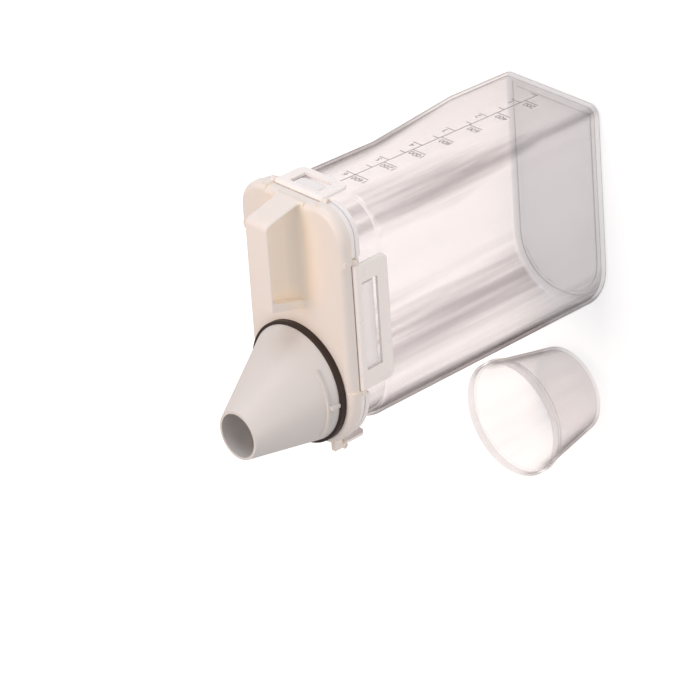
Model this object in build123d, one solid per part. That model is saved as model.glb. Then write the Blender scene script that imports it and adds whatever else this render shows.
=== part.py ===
# Food storage box: a clear pouring box with a four-latch lid, an oblique cone spout and a measuring cup.
# Frame: millimetres, +Z up, origin on the box's base below the middle of the lid, +X towards the spout,
# +Y towards the long side with the left latch. All pieces are at rest, with the four latches closed.
import math
import os
from collections import namedtuple

from build123d import *

# Lid and rim, seen from above: small corners at the back, and two large ones at the front that leave
# only a short flat between them
lid_length = 150.0
lid_width = 80.0
lid_back_radius = 18.5
lid_front_flat = 4.0
lid_top_z = 200.0
lid_skirt = 7.5
lid_wall = 2.0
lid_edge_radius = 4.0
skirt_gap = 0.4

# Clear body, drawn in from the lid's edge at its ends and sides, with a back that leans in to the base
rim_reach_end = 4.5
rim_reach_side = 2.5
base_back_inset = 6.5
body_front_flat = 7.0
base_back_radius = 7.0
grip_back_radius = 23.0
body_wall = 1.8
floor_thickness = 2.4
foot_radius = 3.0
inner_foot_radius = 2.1
foot_rim = 6.0
foot_groove_width = 2.5
foot_groove_depth = 0.8
grip_start_z = 46.0
grip_full_z = 112.0
shoulder_z = 170.5
shoulder_radius = 4.0
neck_inset = 2.4
flange_thickness = 6.5
flange_inset = 1.0
flange_groove = 0.8

# Seal between lid and body
plug_clearance = 0.3
plug_wall = 1.8
plug_depth = 9.0
gasket_inset = 0.2
gasket_width = 2.2
gasket_height = 3.0

# Handle ridge on the lid, from the back edge to just before the spout's ring
handle_back_inset = 7.0
handle_spout_gap = 13.5
handle_end_slant = 6.8
handle_width = 17.0
handle_rise = 24.6
handle_cove = 3.0
handle_edge = 1.2
handle_back_round = 4.0
handle_wall = 1.8
finger_recess = 5.2
finger_cove = 8.0
finger_lip = 1.3
finger_front_gap = 5.0
finger_radius = 3.0

# Latches: a plate hung on a hinge barrel just below the lid's skirt, where the flange is cut back, with a
# slot that drops over a locking rib of the body
latch_thickness = 1.8
latch_reach = 1.4
hinge_gap = 0.3
latch_bay = 1.0
ear_length = 3.0
ear_drop = 1.6
ear_root = 7.0
peg_radius = 1.0
peg_clearance = 0.05
peg_length = 2.4
side_latch_length = 76.0
side_latch_x = -4.8
side_latch_height = 31.2
side_slot_length = 53.5
end_latch_length = 37.0
end_latch_height = 28.5
end_slot_length = 22.0
latch_corner = 5.0
latch_edge = 0.7
slot_drop = 11.6
slot_height = 11.6
slot_radius = 1.2
rib_end_gap = 1.8
rib_top_gap = 0.8
rib_face = 5.8
rib_slope = 3.4
rib_tip_inset = 1.0

# Spout
spout_inset = 37.5
spout_base_radius = 33.8
spout_mouth_radius = 12.8
spout_wall = 1.5
spout_lean = 14.0
spout_height = 48.5
spigot_radius = 25.5
spigot_clearance = 0.1
spigot_depth = 7.0
snap_bead = 0.8
snap_height = 1.4
ring_height = 3.75
ring_width = 1.7
ring_chamfer = 0.4
ring_clearance = 0.1
bayonet_height = 9.8
bayonet_thickness = 1.4
bayonet_reach = 1.2
bayonet_arc = 80.0
stop_width = 2.0
stop_reach = 1.0

# Measuring cup, standing beside the box
cup_gap = 16.6
cup_rim_radius = 35.0
cup_base_radius = 26.0
cup_height = 46.0
cup_wall = 1.3
cup_lip_height = 5.5
cup_lip_reach = 1.0
cup_foot_round = 1.0

# Smallest corner that the mould leaves in an outline
smallest_corner = 0.8

# Depth by which joined solids run into each other, and by which cuts run past a face
embed = 1.0

# Values worked out from the sizes above
body_length = lid_length - 2 * rim_reach_end
body_width = lid_width - 2 * rim_reach_side
lid_front_radius = (lid_width - lid_front_flat) / 2
body_front_radius = (body_width - body_front_flat) / 2
rim_z = lid_top_z - lid_skirt
flange_z = rim_z - flange_thickness
barrel_radius = latch_thickness
hinge_z = rim_z + skirt_gap - hinge_gap - barrel_radius
hinge_out = latch_reach - latch_thickness
spout_x = lid_length / 2 - spout_inset
handle_back_x = handle_back_inset - lid_length / 2
handle_foot_x = spout_x - spout_base_radius - handle_spout_gap
handle_front_x = handle_foot_x - handle_end_slant
handle_top_z = lid_top_z + handle_rise
cup_x = lid_length / 2 + hinge_out + latch_thickness + cup_gap + cup_rim_radius


def outline(length, width, back_radius, front_radius, grow=0.0, z=0.0):
    """The plan of the lid or body, grown outwards by grow, at height z."""
    sketch = Rectangle(length + 2 * grow, width + 2 * grow)
    back_corners = sketch.vertices().group_by(Axis.X)[0]
    sketch = fillet(back_corners, max(back_radius + grow, smallest_corner))
    front_corners = sketch.vertices().group_by(Axis.X)[-1]
    sketch = fillet(front_corners, max(front_radius + grow, smallest_corner))
    return Pos(0, 0, z) * sketch


def lid_plan(grow=0.0, z=0.0):
    return outline(lid_length, lid_width, lid_back_radius, lid_front_radius, grow, z)


def level_plan(back_radius, grow, z):
    """The body's plan at height z, where its back has leant in by a share of the base's inset."""
    inset = base_back_inset * (1 - z / shoulder_z)
    plan = outline(body_length - inset, body_width, back_radius, body_front_radius, grow, z)
    return Pos(inset / 2, 0, 0) * plan


def base_plan(grow=0.0, z=0.0):
    return level_plan(base_back_radius, grow, z)


def grip_plan(grow=0.0, z=0.0):
    return level_plan(grip_back_radius, grow, z)


def neck_plan(grow=0.0, z=0.0):
    return outline(body_length, body_width, grip_back_radius, body_front_radius, grow - neck_inset, z)


def band(plan, inner, outer, z, height):
    """A closed wall between two growths of one plan."""
    return extrude(plan(outer, z) - plan(inner, z), height)


def block(x0, x1, y0, y1, z0, z1):
    return Pos((x0 + x1) / 2, (y0 + y1) / 2, (z0 + z1) / 2) * Box(x1 - x0, y1 - y0, z1 - z0)


def round_bar(radius, length, centre):
    """A round bar along X, centred on a point."""
    return Pos(*centre) * Rot(0, 90, 0) * Cylinder(radius, length)


Side = namedtuple("Side", "name length height slot setback move")


def latch_sides():
    """The box's four latched sides. Each holds its latch's name and sizes, how far the body's neck lies
    inside the lid's edge, and the move from the pattern latch, which hangs on +Y of the X axis."""
    half_width = lid_width / 2
    half_length = lid_length / 2
    long_setback = rim_reach_side + neck_inset
    short_setback = rim_reach_end + neck_inset
    left = Pos(side_latch_x, half_width, 0)
    right = Pos(side_latch_x, -half_width, 0) * Rot(0, 0, 180)
    front = Pos(half_length, 0, 0) * Rot(0, 0, -90)
    back = Pos(-half_length, 0, 0) * Rot(0, 0, 90)
    return [
        Side("left", side_latch_length, side_latch_height, side_slot_length, long_setback, left),
        Side("right", side_latch_length, side_latch_height, side_slot_length, long_setback, right),
        Side("front", end_latch_length, end_latch_height, end_slot_length, short_setback, front),
        Side("back", end_latch_length, end_latch_height, end_slot_length, short_setback, back),
    ]


def hollow(grow, floor, top):
    """The body's stacked shape from floor to top, grown by grow: boxy base, long change, grip and neck."""
    shoulder = shoulder_z + grow
    lower = loft([base_plan(grow, floor), base_plan(grow, grip_start_z)])
    change = loft([base_plan(grow, grip_start_z), grip_plan(grow, grip_full_z)])
    upper = loft([grip_plan(grow, grip_full_z), grip_plan(grow, shoulder)])
    upper = fillet(upper.edges().group_by(Axis.Z)[-1], shoulder_radius + grow)
    neck_low = shoulder - shoulder_radius - grow
    neck = extrude(neck_plan(grow, neck_low), top - neck_low)
    return lower, change, upper, neck


def locking_rib(side):
    """Rib of the pattern side, from inside the neck's wall to its tip in the latch's slot."""
    top = lid_top_z - slot_drop - rib_top_gap
    tip = hinge_out + latch_thickness - rib_tip_inset
    root = -side.setback - body_wall
    foot = hinge_out - hinge_gap
    low = top - rib_face - rib_slope
    points = (root, low), (foot, low), (tip, top - rib_face), (tip, top), (root, top)
    profile = make_face(Polyline(*points, close=True))
    span = side.slot - 2 * rib_end_gap
    return Pos(-span / 2, 0, 0) * extrude(Plane.YZ * profile, span)


def make_body():
    lower, change, upper, neck = hollow(0.0, 0.0, rim_z)
    lower = fillet(lower.edges().group_by(Axis.Z)[0], foot_radius)
    outer = lower + change + upper + neck
    flange = extrude(lid_plan(-flange_inset, flange_z), flange_thickness)
    groove_z = flange_z + (flange_thickness - flange_groove) / 2
    flange -= band(lid_plan, -flange_inset - flange_groove, embed, groove_z, flange_groove)
    for side in latch_sides():
        flange -= side.move * hinge_room(side.length, flange_z)
    outer += flange
    for side in latch_sides():
        outer += side.move * locking_rib(side)
    inner_lower, inner_change, inner_upper, inner_neck = hollow(-body_wall, floor_thickness, rim_z + embed)
    inner_lower = fillet(inner_lower.edges().group_by(Axis.Z)[0], inner_foot_radius)
    body = outer - inner_lower - inner_change - inner_upper - inner_neck
    groove = band(base_plan, -foot_rim - foot_groove_width, -foot_rim, -embed, embed + foot_groove_depth)
    return body - groove


def ridge(half, cove):
    """A ridge along the whole lid, with straight sides that end in coves on the panel."""
    low = lid_top_z - embed
    foot = half + cove
    section = make_face(
        Line((-foot, low), (-foot, lid_top_z))
        + RadiusArc((-foot, lid_top_z), (-half, lid_top_z + cove), -cove)
        + Line((-half, lid_top_z + cove), (-half, handle_top_z))
        + Line((-half, handle_top_z), (half, handle_top_z))
        + Line((half, handle_top_z), (half, lid_top_z + cove))
        + RadiusArc((half, lid_top_z + cove), (foot, lid_top_z), -cove)
        + Line((foot, lid_top_z), (foot, low))
        + Line((foot, low), (-foot, low))
    )
    return Pos(-lid_length / 2, 0, 0) * extrude(Plane.YZ * section, lid_length)


def handle_side(inset, front_gap, bottom_z):
    """The handle seen from its side, from a slanted back to a slanted front, drawn in by inset."""
    top = handle_top_z - inset
    slope = (handle_back_x + lid_length / 2) / (handle_top_z - lid_top_z + lid_edge_radius)
    top_x = handle_back_x + inset * (1 - slope)
    low_x = top_x - slope * (top - bottom_z)
    end_slope = handle_end_slant / handle_rise
    front_x = handle_front_x - front_gap
    foot_x = front_x + end_slope * (handle_top_z - bottom_z)
    points = (low_x, bottom_z), (top_x, top), (front_x + end_slope * inset, top), (foot_x, bottom_z)
    return make_face(Polyline(*points, close=True))


def handle():
    """The handle ridge, with a long finger recess in each side that leaves a lip and a solid front."""
    half = handle_width / 2
    shape = handle_side(0, 0, lid_top_z - embed)
    shape = fillet(shape.vertices().group_by(Axis.Y)[-1].group_by(Axis.X)[0], handle_back_round)
    outer = ridge(half, handle_cove) & (Pos(0, lid_width / 2, 0) * extrude(Plane.XZ * shape, lid_width))
    outer = fillet(outer.edges().filter_by(Axis.X).group_by(Axis.Z)[-1], handle_edge)
    window = handle_side(finger_lip, finger_front_gap, lid_top_z)
    window = fillet(window.vertices().group_by(Axis.Y)[-1], finger_radius)
    cutter = Pos(0, lid_width / 2, 0) * extrude(Plane.XZ * window, lid_width)
    web = ridge(half - finger_recess, finger_cove)
    return outer - cutter + (web & cutter)


def handle_hollow():
    half = handle_width / 2 - finger_recess - handle_wall
    low = lid_top_z - lid_wall - embed
    top = handle_top_z - handle_wall
    return block(handle_back_x + handle_wall, handle_front_x - handle_wall, -half, half, low, top)


def hinge_room(length, floor):
    """Room in the flange for the pattern latch's barrel and the ears that hold it."""
    inside = hinge_out - barrel_radius - hinge_gap
    half = length / 2 + 2 * hinge_gap + ear_length
    return block(-half, half, inside, barrel_radius + embed, floor - embed, rim_z + embed)


def hinge_ears(length):
    """The two ears that hang from the lid's skirt and hold the pattern latch's pegs."""
    ears = []
    for side in (-1, 1):
        middle = side * (length / 2 + hinge_gap + ear_length / 2)
        x0 = middle - ear_length / 2
        x1 = middle + ear_length / 2
        drum = round_bar(barrel_radius, ear_length, (middle, hinge_out, hinge_z))
        neck = block(x0, x1, -lid_wall, 0, hinge_z, rim_z + embed)
        root = block(x0, x1, -ear_root, 0, rim_z + skirt_gap, lid_top_z - ear_drop)
        ears.append(drum + neck + root)
    return ears


def peg_holes(length):
    """The bores for the pattern latch's pegs, through both ears."""
    reach = length + 2 * hinge_gap + 2 * ear_length
    return round_bar(peg_radius + peg_clearance, reach, (0, hinge_out, hinge_z))


def skirted_cover(grow):
    """The lid's solid cover with its rounded top edge, grown by grow."""
    cover = extrude(lid_plan(grow, rim_z + skirt_gap), lid_skirt - skirt_gap)
    return fillet(cover.edges().group_by(Axis.Z)[-1], lid_edge_radius)


def latch_bay_room(length):
    """The strip at the lid's edge that is set back behind the pattern latch."""
    half = length / 2 + hinge_gap
    return block(-half, half, -lid_edge_radius - latch_bay, embed, rim_z - embed, lid_top_z + embed)


def make_lid():
    cover = skirted_cover(0)
    for side in latch_sides():
        cover -= side.move * latch_bay_room(side.length)
    cover += skirted_cover(-latch_bay)
    for side in latch_sides():
        for ear in hinge_ears(side.length):
            cover += side.move * ear
    lid = cover - extrude(lid_plan(-lid_wall, rim_z - embed), lid_skirt - lid_wall + embed)
    lid += handle()
    lid -= handle_hollow()
    panel_z = lid_top_z - embed
    plug_outer = -body_wall - plug_clearance
    plug_z = rim_z - plug_depth
    lid += band(neck_plan, plug_outer - plug_wall, plug_outer, plug_z, panel_z - plug_z)
    press_inner = gasket_inset - body_wall
    press_z = rim_z + gasket_height
    lid += band(neck_plan, press_inner, press_inner + gasket_width, press_z, panel_z - press_z)
    for side in latch_sides():
        lid -= side.move * peg_holes(side.length)
    hole = Cylinder(spigot_radius + spigot_clearance, 2 * (lid_wall + embed))
    return lid - Pos(spout_x, 0, lid_top_z) * hole


def make_lid_gasket():
    inner = gasket_inset - body_wall
    return band(neck_plan, inner, inner + gasket_width, rim_z, gasket_height)


def make_latch(side):
    """The pattern latch: barrel, pegs, plate and slot, hung on the line through the hinge."""
    length = side.length
    low = lid_top_z - side.height
    plate_top = hinge_z
    centre_z = (low + plate_top) / 2
    plate = Plane.XZ * Pos(0, centre_z) * Rectangle(length, plate_top - low)
    plate = extrude(plate, -latch_thickness)
    lower_corners = plate.edges().filter_by(Axis.Y).group_by(Axis.Z)[0]
    plate = fillet(lower_corners, latch_corner)
    plate = Pos(0, hinge_out, 0) * plate
    face = plate.faces().sort_by(Axis.Y)[-1]
    rim = face.edges().filter_by(lambda edge: edge.center().Z < plate_top - latch_edge)
    plate = fillet(rim, latch_edge)
    barrel = round_bar(barrel_radius, length, (0, hinge_out, hinge_z))
    pegs = round_bar(peg_radius, length + 2 * hinge_gap + 2 * peg_length, (0, hinge_out, hinge_z))
    slot_top = lid_top_z - slot_drop
    slot = Plane.XZ * Pos(0, slot_top - slot_height / 2)
    slot = slot * RectangleRounded(side.slot, slot_height, slot_radius)
    slot = Pos(0, hinge_out - embed, 0) * extrude(slot, -(latch_thickness + 2 * embed))
    return plate + barrel + pegs - slot


def spout_ring_at(height):
    """Centre and outer radius of the cone at a height above the foot of its slope."""
    share = height / (spout_height - ring_height)
    centre = spout_x + spout_lean * share
    radius = spout_base_radius + (spout_mouth_radius + spout_wall - spout_base_radius) * share
    return centre, radius


def bayonet_rib():
    """The level rib on the cone's left side, with a stop below its middle."""
    level = lid_top_z + bayonet_height
    centre, radius = spout_ring_at(bayonet_height - ring_height)
    inner = radius - spout_wall / 2
    outer = radius + bayonet_reach
    ring = extrude(Circle(outer) - Circle(inner), bayonet_thickness)
    ring = Pos(centre, 0, level - bayonet_thickness / 2) * ring
    far = 2 * outer
    half_arc = math.radians(bayonet_arc / 2)
    far_x = far * math.sin(half_arc)
    far_y = far * math.cos(half_arc)
    wedge = make_face(Polyline((0, 0), (far_x, far_y), (0, far), (-far_x, far_y), close=True))
    wedge = Pos(centre, 0, level - bayonet_thickness) * extrude(wedge, 2 * bayonet_thickness)
    stop = block(
        centre - stop_width / 2,
        centre + stop_width / 2,
        inner,
        spout_base_radius + stop_reach,
        lid_top_z + ring_height,
        level,
    )
    return (ring & wedge) + stop


def make_spout():
    foot = Pos(spout_x, 0, lid_top_z) * extrude(Circle(spout_base_radius), ring_height)
    low = Pos(spout_x, 0, lid_top_z + ring_height) * Circle(spout_base_radius)
    mouth = Pos(spout_x + spout_lean, 0, lid_top_z + spout_height) * Circle(spout_mouth_radius + spout_wall)
    spigot = Pos(spout_x, 0, lid_top_z - spigot_depth) * extrude(Circle(spigot_radius), spigot_depth)
    bead_z = lid_top_z - lid_wall - snap_height
    bead = Pos(spout_x, 0, bead_z) * extrude(Circle(spigot_radius + snap_bead), snap_height)
    outside = foot + loft([low, mouth]) + spigot + bead + bayonet_rib()
    inner_low = Pos(spout_x, 0, lid_top_z + ring_height) * Circle(spout_base_radius - spout_wall)
    inner_mouth = Pos(spout_x + spout_lean, 0, lid_top_z + spout_height) * Circle(spout_mouth_radius)
    throat_radius = spigot_radius - spout_wall
    throat = Pos(spout_x, 0, lid_top_z - spigot_depth - embed)
    throat = throat * extrude(Circle(throat_radius), spigot_depth + ring_height + 2 * embed)
    return outside - loft([inner_low, inner_mouth]) - throat


def make_spout_ring():
    inner = spout_base_radius + ring_clearance
    ring = extrude(Circle(inner + ring_width) - Circle(inner), ring_height)
    outer_top = ring.edges().group_by(Axis.Z)[-1].sort_by(SortBy.RADIUS)[-1]
    return Pos(spout_x, 0, lid_top_z) * chamfer(outer_top, ring_chamfer)


def make_cup():
    outer = [
        (0, 0),
        (cup_base_radius, 0),
        (cup_rim_radius - cup_lip_reach, cup_height - cup_lip_height),
        (cup_rim_radius, cup_height - cup_lip_height),
        (cup_rim_radius, cup_height),
        (cup_rim_radius - cup_wall, cup_height),
        (cup_rim_radius - cup_wall, cup_height - cup_lip_height + cup_wall),
        (cup_rim_radius - cup_wall - cup_lip_reach, cup_height - cup_lip_height),
        (cup_base_radius - cup_wall, cup_wall),
        (0, cup_wall),
    ]
    cup = revolve(Plane.XZ * make_face(Polyline(*outer, close=True)), Axis.Z)
    foot = cup.edges().group_by(Axis.Z)[0]
    return Pos(cup_x, 0, 0) * fillet(foot, cup_foot_round)


def main():
    nodes = {
        "container_body": make_body(),
        "lid_shell": make_lid(),
        "lid_gasket": make_lid_gasket(),
        "spout_cone": make_spout(),
        "spout_seal_ring": make_spout_ring(),
        "measuring_cup": make_cup(),
    }
    for side in latch_sides():
        nodes["latch_" + side.name] = side.move * make_latch(side)
    os.makedirs("parts", exist_ok=True)
    for name, shape in nodes.items():
        export_step(shape, os.path.join("parts", name + ".step"))


main()
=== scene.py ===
# Clear food storage box with a pouring lid and a measuring cup: looks, light and view.
import math

import bpy
from mathutils import Matrix, Quaternion, Vector


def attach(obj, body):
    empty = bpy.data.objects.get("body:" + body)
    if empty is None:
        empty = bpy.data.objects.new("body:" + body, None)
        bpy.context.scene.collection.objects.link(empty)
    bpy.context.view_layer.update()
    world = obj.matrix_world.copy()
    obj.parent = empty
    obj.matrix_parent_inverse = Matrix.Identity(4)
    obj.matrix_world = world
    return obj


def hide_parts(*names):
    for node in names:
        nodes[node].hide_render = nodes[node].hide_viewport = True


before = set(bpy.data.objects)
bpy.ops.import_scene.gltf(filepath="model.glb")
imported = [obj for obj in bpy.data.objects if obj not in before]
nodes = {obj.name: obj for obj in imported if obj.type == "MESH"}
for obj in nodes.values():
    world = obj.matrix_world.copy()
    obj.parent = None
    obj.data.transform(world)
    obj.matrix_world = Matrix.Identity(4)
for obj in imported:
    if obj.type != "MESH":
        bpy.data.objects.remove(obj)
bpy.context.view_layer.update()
millimetre = 0.001


def toLinear(channel):
    if channel <= 0.04045:
        return channel / 12.92
    return ((channel + 0.055) / 1.055) ** 2.4


def colour(hexColour):  # sRGB hex to the linear colour that a shader takes
    channels = [int(hexColour[i:i + 2], 16) / 255 for i in (1, 3, 5)]
    return (*[toLinear(c) for c in channels], 1.0)


def addNode(tree, kind, inputs=None, **settings):
    node = tree.nodes.new(kind)
    for name, value in settings.items():
        setattr(node, name, value)
    for name, value in (inputs or {}).items():
        if isinstance(value, bpy.types.NodeSocket):
            tree.links.new(value, node.inputs[name])
        else:
            node.inputs[name].default_value = value
    return node


def newMaterial(name):
    material = bpy.data.materials.new(name)
    material.use_nodes = True
    tree = material.node_tree
    tree.nodes.clear()
    shader = addNode(tree, "ShaderNodeBsdfPrincipled")
    output = addNode(tree, "ShaderNodeOutputMaterial", {"Surface": shader.outputs["BSDF"]})
    return material, tree, shader, output


def noise(tree, place, size, detail=2.0):  # cloudy pattern, with lumps size metres across
    texture = addNode(tree, "ShaderNodeTexNoise", {"Vector": place, "Scale": 1 / size, "Detail": detail})
    return texture.outputs["Fac"]


def warmHollows(tree, tone, settings):  # painted bounce light: the colour turns a warmer, lighter tone in the hollows that ambient occlusion finds
    depth = {"Distance": settings["hollowReach"]}
    samples = settings["hollowSamples"]
    depth = addNode(tree, "ShaderNodeAmbientOcclusion", depth, samples=samples, only_local=True)
    low, high = settings["hollowRange"]
    share = {"Value": depth.outputs["AO"], "From Min": low, "From Max": high}
    share.update({"To Min": settings["hollowShare"], "To Max": 0.0})
    share = addNode(tree, "ShaderNodeMapRange", share)
    warm = addNode(tree, "ShaderNodeMix", {"Factor": share.outputs["Result"]}, data_type="RGBA")
    tree.links.new(tone, warm.inputs["A"])
    warm.inputs["B"].default_value = colour(settings["hollow"])
    return warm.outputs["Result"]


def mouldedPlastic(name, settings):
    material, tree, shader, _ = newMaterial(name)
    place = addNode(tree, "ShaderNodeTexCoord").outputs["Object"]
    cloud = noise(tree, place, settings["cloud"])
    tone = addNode(tree, "ShaderNodeMix", data_type="RGBA")
    tone.inputs["A"].default_value = colour(settings["light"])
    tone.inputs["B"].default_value = colour(settings["dark"])
    tree.links.new(cloud, tone.inputs["Factor"])
    tone = tone.outputs["Result"]
    if "hollow" in settings:
        tone = warmHollows(tree, tone, settings)
    tree.links.new(tone, shader.inputs["Base Color"])
    low, high = settings["roughness"]
    rubbed = noise(tree, place, settings["rubbed"], settings["rubbedDetail"])
    start, end = settings["rubbedRange"]
    rough = addNode(tree, "ShaderNodeMapRange", {"Value": rubbed, "From Min": start, "From Max": end})
    rough.inputs["To Min"].default_value = low
    rough.inputs["To Max"].default_value = high
    tree.links.new(rough.outputs["Result"], shader.inputs["Roughness"])
    grain = noise(tree, place, settings["grain"])
    bump = addNode(tree, "ShaderNodeBump", {"Height": grain, "Strength": settings["grainStrength"]})
    bump.inputs["Distance"].default_value = settings["grainDepth"]
    sink = noise(tree, place, settings["sink"])
    wave = {"Height": sink, "Strength": 1.0, "Normal": bump.outputs["Normal"]}
    wave = addNode(tree, "ShaderNodeBump", wave)
    wave.inputs["Distance"].default_value = settings["sinkDepth"]
    tree.links.new(wave.outputs["Normal"], shader.inputs["Normal"])
    shader.inputs["IOR"].default_value = settings["ior"]
    shader.inputs["Subsurface Weight"].default_value = settings["glow"]
    shader.inputs["Subsurface Radius"].default_value = settings["glowReach"]
    shader.inputs["Subsurface Scale"].default_value = settings["glowDepth"]
    return material


# Injection-moulded polypropylene with a fine satin mould finish: warm white, a soft broad highlight, a
# little light bleeding through the edges. The grain is spark-eroded texture of about 0.5 mm, and the sink
# is the faint waviness that ribs and walls of 2 mm leave on the face.
lidLook = {
    "light": "#EEE8E3",
    "dark": "#E9E1DB",
    "cloud": 60 * millimetre,
    "roughness": (0.34, 0.46),
    "rubbed": 14 * millimetre,
    "rubbedDetail": 5.0,
    "rubbedRange": (0.3, 0.7),
    "grain": 0.5 * millimetre,
    "grainStrength": 0.25,
    "grainDepth": 0.05 * millimetre,
    "sink": 30 * millimetre,
    "sinkDepth": 0.15 * millimetre,
    "ior": 1.49,
    "glow": 0.12,
    "glowReach": (1.0, 0.8, 0.6),
    "glowDepth": 1.5 * millimetre,
}
# Painted bounce light in the lid's hollows: the colour there turns warm and light where ambient occlusion
# finds a hollow.
paintedBounceLook = {
    "hollow": "#FFF0DA",
    "hollowReach": 30 * millimetre,
    "hollowRange": (0.55, 0.90),
    "hollowShare": 0.7,
    "hollowSamples": 8,
}
lidPlastic = mouldedPlastic("satinPolypropylene", dict(lidLook, **paintedBounceLook))

# The same polypropylene from a polished mould: the latches are a touch cooler and glossier.
latchLook = dict(lidLook, light="#FAF6F4", dark="#F4EFEC", roughness=(0.24, 0.36))
latchPlastic = mouldedPlastic("polishedPolypropylene", latchLook)

# The cone is the lid's polypropylene with a finely matt face; its darker, cooler grey-white is painted
# shade.
shadedSpoutLook = dict(lidLook, light="#DDDAD8", dark="#D6D2CF", roughness=(0.40, 0.50))
shadedSpoutPlastic = mouldedPlastic("mattShadedPolypropylene", shadedSpoutLook)

# Dark brown silicone rubber: nearly matt, with the faint dusty sheen that silicone picks up.
sealLook = dict(lidLook, light="#3D2C24", dark="#2A1C16", roughness=(0.42, 0.58), ior=1.41, glow=0.0)
sealRubber = mouldedPlastic("darkSilicone", sealLook)

# Milky silicone of the seal inside the lid.
gasketLook = dict(lidLook, light="#E9E7E2", dark="#DEDBD5", roughness=(0.5, 0.6), ior=1.41, glow=0.2)
gasketRubber = mouldedPlastic("milkySilicone", gasketLook)


def powered(tree, value, low, high, power):  # rises from 0 at low to 1 at high, slowly at first
    share = addNode(tree, "ShaderNodeMapRange", {"Value": value, "From Min": low, "From Max": high})
    share = addNode(tree, "ShaderNodeMath", {0: share.outputs["Result"], 1: power}, operation="POWER")
    return share.outputs[0]


def past(tree, value, limit):  # 1 where the value is past the limit
    return addNode(tree, "ShaderNodeMath", {0: value, 1: limit}, operation="GREATER_THAN").outputs[0]


def thickPlaces(tree, place, settings):  # 1 on the thick flange or lip, and on the ribs below it
    axes = addNode(tree, "ShaderNodeSeparateXYZ", {"Vector": place})
    flange = past(tree, axes.outputs["Z"], settings["flangeFrom"])
    rib = past(tree, axes.outputs["Z"], settings["ribFrom"])
    wide = addNode(tree, "ShaderNodeMath", {0: axes.outputs["Y"]}, operation="ABSOLUTE").outputs[0]
    long = addNode(tree, "ShaderNodeMath", {0: axes.outputs["X"]}, operation="ABSOLUTE").outputs[0]
    wide = past(tree, wide, settings["ribOutY"])
    long = past(tree, long, settings["ribOutX"])
    outside = addNode(tree, "ShaderNodeMath", {0: wide, 1: long}, operation="MAXIMUM").outputs[0]
    rib = addNode(tree, "ShaderNodeMath", {0: rib, 1: outside}, operation="MULTIPLY").outputs[0]
    return addNode(tree, "ShaderNodeMath", {0: flange, 1: rib}, operation="MAXIMUM").outputs[0]


def curvedWalls(tree):  # up to 1 halfway round an upright corner, 0 on the flat walls
    normal = addNode(tree, "ShaderNodeNewGeometry").outputs["Normal"]
    axes = addNode(tree, "ShaderNodeSeparateXYZ", {"Vector": normal})
    both = {0: axes.outputs["X"], 1: axes.outputs["Y"]}
    both = addNode(tree, "ShaderNodeMath", both, operation="MULTIPLY").outputs[0]
    both = addNode(tree, "ShaderNodeMath", {0: both}, operation="ABSOLUTE").outputs[0]
    return addNode(tree, "ShaderNodeMath", {0: both, 1: 2.0}, operation="MULTIPLY").outputs[0]


def drawnStreaks(tree, place, settings):  # grey streaks where the wall curves: painted reflection and shade of the surroundings, partly the mould's flow lines
    along = addNode(tree, "ShaderNodeMapping", {"Vector": place, "Scale": settings["streakStretch"]})
    streak = noise(tree, along.outputs["Vector"], settings["streak"], settings["flowDetail"])
    low, high = settings["streakRange"]
    streak = addNode(tree, "ShaderNodeMapRange", {"Value": streak, "From Min": low, "From Max": high})
    streak.inputs["To Min"].default_value = settings["streakLow"]
    streak.inputs["To Max"].default_value = settings["streakHigh"]
    marks = {0: streak.outputs["Result"], 1: curvedWalls(tree)}
    return addNode(tree, "ShaderNodeMath", marks, operation="MULTIPLY").outputs[0]


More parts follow.
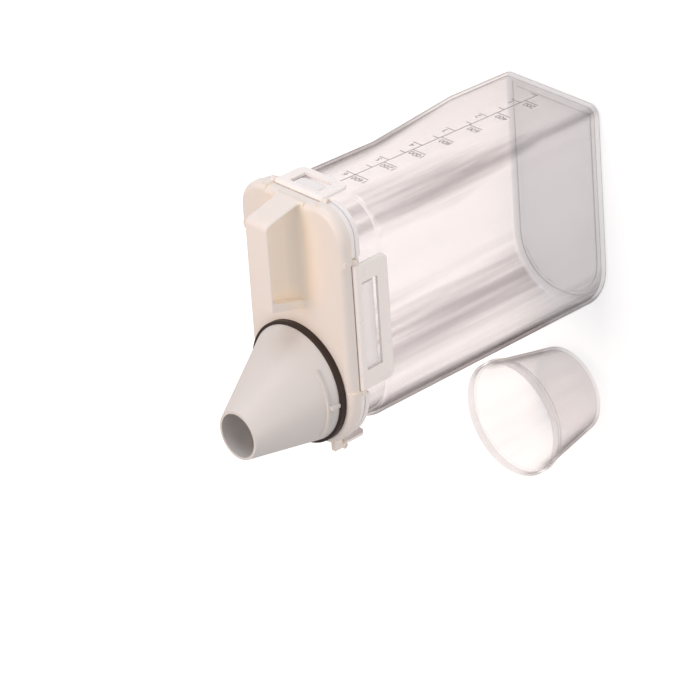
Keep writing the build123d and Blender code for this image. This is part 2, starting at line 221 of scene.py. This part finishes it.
def clearPlastic(name, settings):
    material, tree, shader, output = newMaterial(name)
    place = addNode(tree, "ShaderNodeTexCoord").outputs["Object"]
    flow = addNode(tree, "ShaderNodeMapping", {"Vector": place, "Scale": settings["flowStretch"]})
    flow = noise(tree, flow.outputs["Vector"], settings["flow"], settings["flowDetail"])
    bump = addNode(tree, "ShaderNodeBump", {"Height": flow, "Strength": 1.0})
    bump.inputs["Distance"].default_value = settings["flowDepth"]
    facing = addNode(tree, "ShaderNodeLayerWeight", {"Blend": 0.5, "Normal": bump.outputs["Normal"]})
    facing = facing.outputs["Facing"]
    low, high = settings["grazing"]
    tint = addNode(tree, "ShaderNodeMix", data_type="RGBA")
    tint.inputs["A"].default_value = colour(settings["face"])
    tint.inputs["B"].default_value = colour(settings["edge"])
    grazing = powered(tree, facing, low, high, settings["grazingPower"])
    density = {0: grazing, 1: drawnStreaks(tree, place, settings)}
    density = addNode(tree, "ShaderNodeMath", density, operation="ADD", use_clamp=True)
    tree.links.new(density.outputs[0], tint.inputs["Factor"])
    through = addNode(tree, "ShaderNodeBsdfTransparent", {"Color": tint.outputs["Result"]})
    gloss = addNode(tree, "ShaderNodeBsdfGlossy", {"Roughness": settings["roughness"]})
    tree.links.new(bump.outputs["Normal"], gloss.inputs["Normal"])
    rise = powered(tree, facing, 0.0, 1.0, settings["mirrorPower"])
    mirror = {0: rise, 1: settings["mirrorRise"], 2: settings["mirrorFace"]}
    mirror = addNode(tree, "ShaderNodeMath", mirror, operation="MULTIPLY_ADD")
    clear = addNode(tree, "ShaderNodeMixShader", {0: mirror.outputs[0]})
    tree.links.new(through.outputs[0], clear.inputs[1])
    tree.links.new(gloss.outputs[0], clear.inputs[2])
    # Painted light: a nearly opaque white on the thick flange and ribs stands in for the light they catch.
    thick = addNode(tree, "ShaderNodeMapRange", {"Value": thickPlaces(tree, place, settings)})
    thick.inputs["To Min"].default_value = settings["haze"]
    thick.inputs["To Max"].default_value = settings["thickPaintedGlow"]
    shader.inputs["Base Color"].default_value = colour(settings["hazeColour"])
    shader.inputs["Roughness"].default_value = settings["hazeRoughness"]
    shader.inputs["IOR"].default_value = settings["ior"]
    mixed = addNode(tree, "ShaderNodeMixShader", {0: thick.outputs["Result"]})
    tree.links.new(clear.outputs[0], mixed.inputs[1])
    tree.links.new(shader.outputs[0], mixed.inputs[2])
    tree.links.new(mixed.outputs[0], output.inputs["Surface"])
    return material


# Clear styrene-acrylonitrile, 1.8 mm thick: nearly colourless face-on, greyer where the wall turns away
# and the light goes through more of it, a sharp gloss with the slight waviness of the flow in the mould.
# The flange and the ribs at its top are thick and catch more light, so they look whitish; that whitish
# look is painted light, a nearly opaque white mixed in there.
bodyLook = {
    "face": "#FCFBFB",
    "edge": "#A19A9D",
    "grazing": (0.55, 1.0),
    "grazingPower": 1.6,
    "mirrorPower": 5.0,
    "mirrorRise": 0.9,
    "mirrorFace": 0.05,
    "roughness": 0.05,
    "ior": 1.5,
    "flow": 45 * millimetre,
    "flowStretch": (1.0, 1.0, 0.35),
    "flowDetail": 3.0,
    "flowDepth": 0.5 * millimetre,
    # Grey streaks on the curved corners: painted reflection and shade of the surroundings, partly the
    # mould's flow lines.
    "streak": 7 * millimetre,
    "streakStretch": (1.0, 1.0, 0.04),
    "streakRange": (0.35, 0.65),
    "streakLow": 0.02,
    "streakHigh": 0.48,
    "haze": 0.015,
    "thickPaintedGlow": 0.92,
    "flangeFrom": 185.7 * millimetre,
    "ribFrom": 176.0 * millimetre,
    "ribOutY": 35.6 * millimetre,
    "ribOutX": 68.6 * millimetre,
    "hazeColour": "#FBF8F8",
    "hazeRoughness": 0.3,
}
bodyPlastic = clearPlastic("clearStyrene", bodyLook)

# The same plastic in the cup, 1.3 mm thick, with a slightly whitish lip of painted light and fainter
# painted streaks. It has no ribs, so ribFrom is far above it.
cupLook = dict(bodyLook, thickPaintedGlow=0.2, flangeFrom=40.5 * millimetre, ribFrom=1.0, streakHigh=0.06)
cupPlastic = clearPlastic("clearCupStyrene", cupLook)


def smoothPiece(nodeName, pieceName, body, material, angle=30.0):  # stands for its CAD node
    bpy.ops.object.select_all(action="DESELECT")
    bpy.context.view_layer.objects.active = nodes[nodeName]
    nodes[nodeName].select_set(True)
    bpy.ops.object.duplicate()
    piece = bpy.context.object
    piece.name = pieceName
    piece.data.name = pieceName
    bpy.ops.mesh.customdata_custom_splitnormals_clear()
    bpy.ops.object.mode_set(mode="EDIT")
    bpy.ops.mesh.select_all(action="SELECT")
    bpy.ops.mesh.remove_doubles(threshold=0.002 * millimetre)
    bpy.ops.object.mode_set(mode="OBJECT")
    bpy.ops.object.shade_smooth_by_angle(angle=math.radians(angle))
    piece.data.materials.clear()
    piece.data.materials.append(material)
    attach(piece, body)
    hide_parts(nodeName)
    return piece


smoothPiece("container_body", "clearBox", "box", bodyPlastic)
smoothPiece("measuring_cup", "clearCup", "cup", cupPlastic)
smoothPiece("lid_shell", "whiteLid", "box", lidPlastic)
smoothPiece("spout_cone", "pouringCone", "box", shadedSpoutPlastic)
smoothPiece("spout_seal_ring", "darkRing", "box", sealRubber)
smoothPiece("lid_gasket", "lidGasket", "box", gasketRubber)
for side in ("left", "right", "front", "back"):
    smoothPiece("latch_" + side, side + "Latch", side + "_latch", latchPlastic)
print("plastic pieces ready")


scalePrint = {  # sizes in millimetres, on the box's leaning back
    "ink": "#6B6568",
    "wornInk": "#8B8589",
    "wornSize": 1.5,
    "wornDetail": 4.0,
    "roughness": 0.45,
    "faceTopX": -70.5,
    "lean": 6.5 / 170.5,
    "faceTopZ": 170.5,
    "lift": 0.06,
    "thickness": 0.03,
    "lineY": 2.5,
    "lineFrom": 14.0,
    "lineTo": 166.0,
    "lineWidth": 0.55,
    "tickWidth": 0.5,
    "barRounding": 0.3,
    "floor": 2.4,
    "volumeStep": 21.5,
    "volumes": (200, 400, 600, 800, 1000, 1200, 1400),
    "volumeTick": 10,
    "volumeNumber": 6.5,
    "cupStep": 12.55,
    "cupTicks": 12,
    "cupTick": 7,
    "halfCupTick": 4.5,
    "cupNumber": 4.5,
    "numberSize": 5.4,
    "numberLift": 1.5,
}


def printInk(name, settings):  # pad-printed grey ink, slightly broken up where it has worn
    material, tree, shader, _ = newMaterial(name)
    place = addNode(tree, "ShaderNodeTexCoord").outputs["Object"]
    worn = noise(tree, place, settings["wornSize"] * millimetre, settings["wornDetail"])
    tone = addNode(tree, "ShaderNodeMix", data_type="RGBA")
    tone.inputs["A"].default_value = colour(settings["ink"])
    tone.inputs["B"].default_value = colour(settings["wornInk"])
    tree.links.new(worn, tone.inputs["Factor"])
    tree.links.new(tone.outputs["Result"], shader.inputs["Base Color"])
    shader.inputs["Roughness"].default_value = settings["roughness"]
    return material


def placeOnBack(piece, y, z):  # stands the piece on the leaning back, reading along -Y
    lean = scalePrint["lean"]
    up = Vector((-lean, 0, 1)).normalized()
    along = Vector((0, -1, 0))
    out = along.cross(up)
    x = scalePrint["faceTopX"] + lean * (scalePrint["faceTopZ"] - z)
    spot = Vector((x, y, z)) * millimetre + out * scalePrint["lift"] * millimetre
    turn = Matrix((along, up, out)).transposed().to_4x4()
    piece.data.transform(Matrix.Translation(spot) @ turn)


def printedBar(y0, y1, z0, z1):
    bpy.ops.mesh.primitive_plane_add(size=1.0)
    bar = bpy.context.object
    bar.scale = ((y1 - y0) * millimetre, (z1 - z0) * millimetre, 1)
    bpy.ops.object.transform_apply(scale=True)
    bpy.ops.object.mode_set(mode="EDIT")
    bpy.ops.mesh.select_all(action="SELECT")
    radius = scalePrint["barRounding"] * min(y1 - y0, z1 - z0) * millimetre
    bpy.ops.mesh.bevel(offset=radius, segments=2, affect="VERTICES")
    bpy.ops.object.mode_set(mode="OBJECT")
    placeOnBack(bar, (y0 + y1) / 2, (z0 + z1) / 2)
    return bar


def printedNumber(words, y, z):
    bpy.ops.object.text_add()
    number = bpy.context.object
    number.data.body = words
    number.data.size = scalePrint["numberSize"] * millimetre
    number.data.align_x = "CENTER"
    bpy.ops.object.convert(target="MESH")
    number = bpy.context.object
    placeOnBack(number, y, z)
    return number


def makeCapacityScale():
    line = scalePrint["lineY"]
    half = scalePrint["lineWidth"] / 2
    tick = scalePrint["tickWidth"] / 2
    lift = scalePrint["numberLift"]
    bars = [printedBar(line - half, line + half, scalePrint["lineFrom"], scalePrint["lineTo"])]
    for count, volume in enumerate(scalePrint["volumes"], 1):
        z = scalePrint["floor"] + scalePrint["volumeStep"] * count
        bars.append(printedBar(line, line + scalePrint["volumeTick"], z - tick, z + tick))
        bars.append(printedNumber(str(volume), line + scalePrint["volumeNumber"], z + lift))
    for count in range(1, scalePrint["cupTicks"] + 1):
        z = scalePrint["floor"] + scalePrint["cupStep"] * count
        whole = count % 2 == 0  # every second tick is a whole cup, and has a number
        length = scalePrint["cupTick"] if whole else scalePrint["halfCupTick"]
        bars.append(printedBar(line - length, line, z - tick, z + tick))
        if whole:
            bars.append(printedNumber(str(count // 2), line - scalePrint["cupNumber"], z + lift))
    bpy.ops.object.select_all(action="DESELECT")
    for bar in bars:
        bar.select_set(True)
    bpy.context.view_layer.objects.active = bars[0]
    bpy.ops.object.join()
    scale = bpy.context.object
    scale.name = "capacityScale"
    wall = scale.modifiers.new("inkThickness", "SOLIDIFY")
    wall.thickness = scalePrint["thickness"] * millimetre
    wall.offset = 1.0
    bpy.ops.object.modifier_apply(modifier=wall.name)
    scale.data.materials.clear()
    scale.data.materials.append(printInk("padPrintInk", scalePrint))
    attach(scale, "box")


makeCapacityScale()
print("capacity scale ready")


# A pale floor just below the base. What the camera sees of the background is plain white; floorLift is the
# light that the floor adds there, low enough for the shadows to stay.
studio = {
    "floorSize": 6.0,
    "floorDrop": 0.2 * millimetre,
    "floorColour": "#F6F6F6",
    "floorRoughness": 0.9,
    "floorLift": 0.46,
    "worldStrength": 0.50,
    "worldColour": "#FCFCFF",
    "white": "#FFFFFF",
}


def seenDirectly(tree):  # 1 for what the camera or a clear wall shows of the background
    path = addNode(tree, "ShaderNodeLightPath")
    inputs = {0: path.outputs["Is Camera Ray"], 1: path.outputs["Is Transmission Ray"]}
    return addNode(tree, "ShaderNodeMath", inputs, operation="MAXIMUM").outputs[0]


def makeFloor():
    place = (0, 0, -studio["floorDrop"])
    bpy.ops.mesh.primitive_plane_add(size=studio["floorSize"], location=place)
    floor = bpy.context.object
    floor.name = "studioFloor"
    material, tree, shader, _ = newMaterial("paleFloor")
    shader.inputs["Base Color"].default_value = colour(studio["floorColour"])
    shader.inputs["Roughness"].default_value = studio["floorRoughness"]
    lift = {0: seenDirectly(tree), 1: studio["floorLift"]}
    lift = addNode(tree, "ShaderNodeMath", lift, operation="MULTIPLY")
    shader.inputs["Emission Color"].default_value = colour(studio["white"])
    tree.links.new(lift.outputs[0], shader.inputs["Emission Strength"])
    floor.data.materials.append(material)


def makeWorld():
    world = bpy.data.worlds.new("softStudio")
    bpy.context.scene.world = world
    world.use_nodes = True
    tree = world.node_tree
    tree.nodes.clear()
    seen = seenDirectly(tree)
    strength = addNode(tree, "ShaderNodeMapRange", {"Value": seen, "To Min": studio["worldStrength"]})
    strength.inputs["To Max"].default_value = 1.0
    tone = addNode(tree, "ShaderNodeMix", {"Factor": seen}, data_type="RGBA")
    tone.inputs["A"].default_value = colour(studio["worldColour"])
    tone.inputs["B"].default_value = colour(studio["white"])
    light = {"Color": tone.outputs["Result"], "Strength": strength.outputs["Result"]}
    background = addNode(tree, "ShaderNodeBackground", light)
    addNode(tree, "ShaderNodeOutputWorld", {"Surface": background.outputs["Background"]})


# A cool softbox behind the handle, a warm one overhead that tints only what faces up, and a weak one
# beside the long latch.
lamps = {
    "keySoftbox": {"from": (-1.45, -0.15, 0.62), "size": 1.0, "watts": 6.2, "tone": "#EEF5FF"},
    "topSoftbox": {"from": (-0.35, -0.25, 1.75), "size": 0.9, "watts": 11.8, "tone": "#FFE2CC"},
    "sideSoftbox": {"from": (-0.35, 1.6, 0.55), "size": 0.9, "watts": 4.4, "tone": "#FFF4EC"},
}
lampAim = (0, 0, 0.16)


def makeLamps():
    for name, lamp in lamps.items():
        bpy.ops.object.light_add(type="AREA", location=lamp["from"])
        light = bpy.context.object
        light.name = name
        light.data.shape = "DISK"
        light.data.size = lamp["size"]
        light.data.energy = lamp["watts"]
        light.data.color = colour(lamp["tone"])[:3]
        towards = Vector(lampAim) - Vector(lamp["from"])
        light.rotation_euler = towards.to_track_quat("-Z", "Y").to_euler()


# A long lens from far away, rolled, which shows the box as the photo does: nearly without perspective and
# lying on its side, although it stands upright.
shot = {
    "aim": (0.0249, 0.0131, 0.1750),
    "away": (-0.4757, 0.6583, 0.5834),
    "distance": 3.2585,
    "roll": -116.9,
    "lens": 308.6,
    "sensor": 36.0,
}


def makeCamera():
    away = Vector(shot["away"]).normalized()
    bpy.ops.object.camera_add(location=Vector(shot["aim"]) + away * shot["distance"])
    camera = bpy.context.object
    turn = away.to_track_quat("Z", "Y") @ Quaternion((0, 0, 1), math.radians(shot["roll"]))
    camera.rotation_euler = turn.to_euler()
    camera.data.sensor_width = shot["sensor"]
    camera.data.lens = shot["lens"]
    bpy.context.scene.camera = camera


makeFloor()
makeWorld()
makeLamps()
makeCamera()
bpy.context.scene.view_settings.view_transform = "Standard"
print("studio ready")
